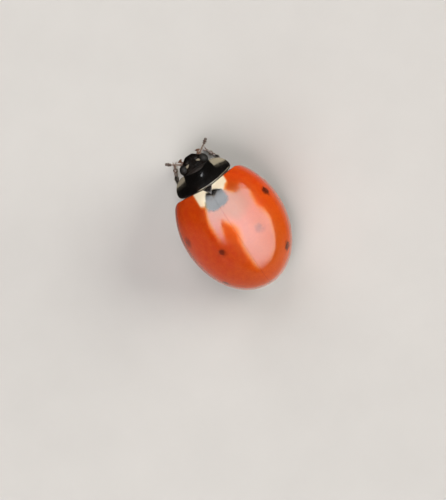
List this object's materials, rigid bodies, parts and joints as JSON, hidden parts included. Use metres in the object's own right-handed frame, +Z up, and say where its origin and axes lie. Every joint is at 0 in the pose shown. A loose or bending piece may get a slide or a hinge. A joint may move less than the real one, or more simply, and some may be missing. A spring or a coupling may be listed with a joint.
{
  "type": "seven-spot ladybird",
  "caption": "Domed beetle standing on six legs: glossy red wing cases with small dark spots, black pronotum and head with pale patches, short clubbed antennae.",
  "frame": {"origin": "on the floor, below the middle of the box round the whole insect", "axes": "+Z up, the head points along -Y, the insect's left side is +X"},
  "size_m": [0.0054, 0.008, 0.0037],
  "materials": {
    "red_shell": "smooth, glossy orange-red shell with small dark spots and two cream patches at the front",
    "black_shell": "smooth, glossy black shell with cream patches",
    "black_body": "satin black underside with fine hairs and two pale side patches",
    "eye": "glossy black, finely faceted",
    "feeler": "satin brown, darker at the club",
    "leg": "satin black with brownish feet"
  },
  "bodies": {
    "root": {"pronotum": "black_shell", "scutellum": "black_shell", "elytron_left": "red_shell", "elytron_right": "red_shell", "abdomen": "black_body", "thorax": "black_body", "prothorax": "black_body", "head": "black_shell", "face": "black_shell", "eye_left": "eye", "eye_right": "eye", "antenna_stem_left": "feeler", "antenna_stem_right": "feeler", "antenna_club_left": "feeler", "antenna_club_right": "feeler", "palp_left": "feeler", "palp_right": "feeler", "leg_front_left_coxa": "leg", "leg_front_left_femur": "leg", "leg_front_left_tibia": "leg", "leg_front_left_tarsus": "leg", "leg_front_right_coxa": "leg", "leg_front_right_femur": "leg", "leg_front_right_tibia": "leg", "leg_front_right_tarsus": "leg", "leg_middle_left_coxa": "leg", "leg_middle_left_femur": "leg", "leg_middle_left_tibia": "leg", "leg_middle_left_tarsus": "leg", "leg_middle_right_coxa": "leg", "leg_middle_right_femur": "leg", "leg_middle_right_tibia": "leg", "leg_middle_right_tarsus": "leg", "leg_hind_left_coxa": "leg", "leg_hind_left_femur": "leg", "leg_hind_left_tibia": "leg", "leg_hind_left_tarsus": "leg", "leg_hind_right_coxa": "leg", "leg_hind_right_femur": "leg", "leg_hind_right_tibia": "leg", "leg_hind_right_tarsus": "leg"}
  },
  "joints": []
}
